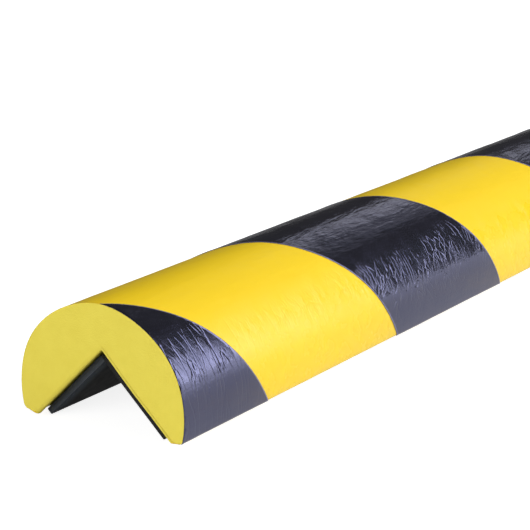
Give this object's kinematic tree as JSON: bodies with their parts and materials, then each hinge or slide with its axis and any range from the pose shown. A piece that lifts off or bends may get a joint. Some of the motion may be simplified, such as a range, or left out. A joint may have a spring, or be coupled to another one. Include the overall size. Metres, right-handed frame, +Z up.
{
  "type": "corner guard",
  "caption": "Foam corner guard: a three-quarter-round outside over a right-angled notch, held by magnetic strips in the notch, with slanting black bands on yellow.",
  "frame": {"origin": "centre of the guard's length and width, at its lowest edge", "axes": "+Y along the length, away from the end that the picture shows, +Z up from the notch to the top of the round, +X across"},
  "size_m": [0.0412, 1, 0.0272],
  "materials": {
    "yellow_foam": "soft moulded foam with a glossy, finely wrinkled yellow skin and a pale matte cut face",
    "black_film": "glossy, finely wrinkled black colour film",
    "magnet_rubber": "dull dark flexible magnetic strip"
  },
  "bodies": {
    "root": {"foam_profile": "yellow_foam", "magnet_strip_left": "magnet_rubber", "magnet_strip_right": "magnet_rubber", "black_band_01": "black_film", "black_band_02": "black_film", "black_band_03": "black_film", "black_band_04": "black_film", "black_band_05": "black_film", "black_band_06": "black_film", "black_band_07": "black_film", "black_band_08": "black_film", "black_band_09": "black_film", "black_band_10": "black_film", "black_band_11": "black_film"}
  },
  "joints": []
}
